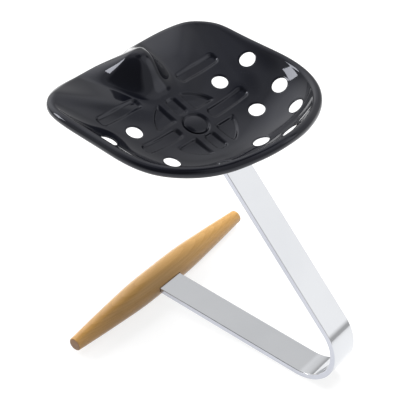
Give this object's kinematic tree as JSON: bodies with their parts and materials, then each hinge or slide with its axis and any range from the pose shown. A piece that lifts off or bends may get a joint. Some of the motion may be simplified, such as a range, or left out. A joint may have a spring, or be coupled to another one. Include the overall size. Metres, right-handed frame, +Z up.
{
  "type": "tractor seat stool",
  "caption": "Stool with a pressed steel tractor seat with drain holes, a cantilevered flat steel strip bent into a V, and a turned wooden footrest.",
  "frame": {"origin": "the middle of the footrest's flat underside, on the floor", "axes": "+Z up, +X to the sitter's left along the footrest, +Y from the footrest to the bend at the back"},
  "size_m": [0.49, 0.5716, 0.5224],
  "materials": {
    "chromed_steel": "satin chrome on spring steel, edges broken",
    "beech": "beech, clear satin lacquer",
    "zinc_plated_steel": "zinc plated",
    "black_enamel": "high gloss black stove enamel"
  },
  "bodies": {
    "base": {"stem": "chromed_steel", "footrest": "beech", "footrest_screw_left": "zinc_plated_steel", "footrest_screw_right": "zinc_plated_steel"},
    "seat": {"seat_pan": "black_enamel", "seat_bolt": "black_enamel"},
    "washers": {"flat_washer": "zinc_plated_steel", "spring_washer": "zinc_plated_steel"},
    "wing_nut": {"wing_nut": "zinc_plated_steel"}
  },
  "joints": [
    {"name": "seat_swivel", "type": "hinge", "parent": "base", "child": "seat", "pos_m": [0, 0.0945, 0.433], "axis": [0, 0.279, 0.9603], "continuous": true},
    {"name": "washer_slide", "type": "slide", "parent": "seat", "child": "washers", "axis": [0, -0.279, -0.9603], "range_m": [0, 0.008]},
    {"name": "wing_nut_spin", "type": "hinge", "parent": "washers", "child": "wing_nut", "pos_m": [0, 0.0945, 0.433], "axis": [0, -0.279, -0.9603], "range_deg": [0, 1919]}
  ],
  "couplings": [
    {"joint": "washer_slide", "follows": "wing_nut_spin", "m_per_rad": 0.00023873}
  ]
}
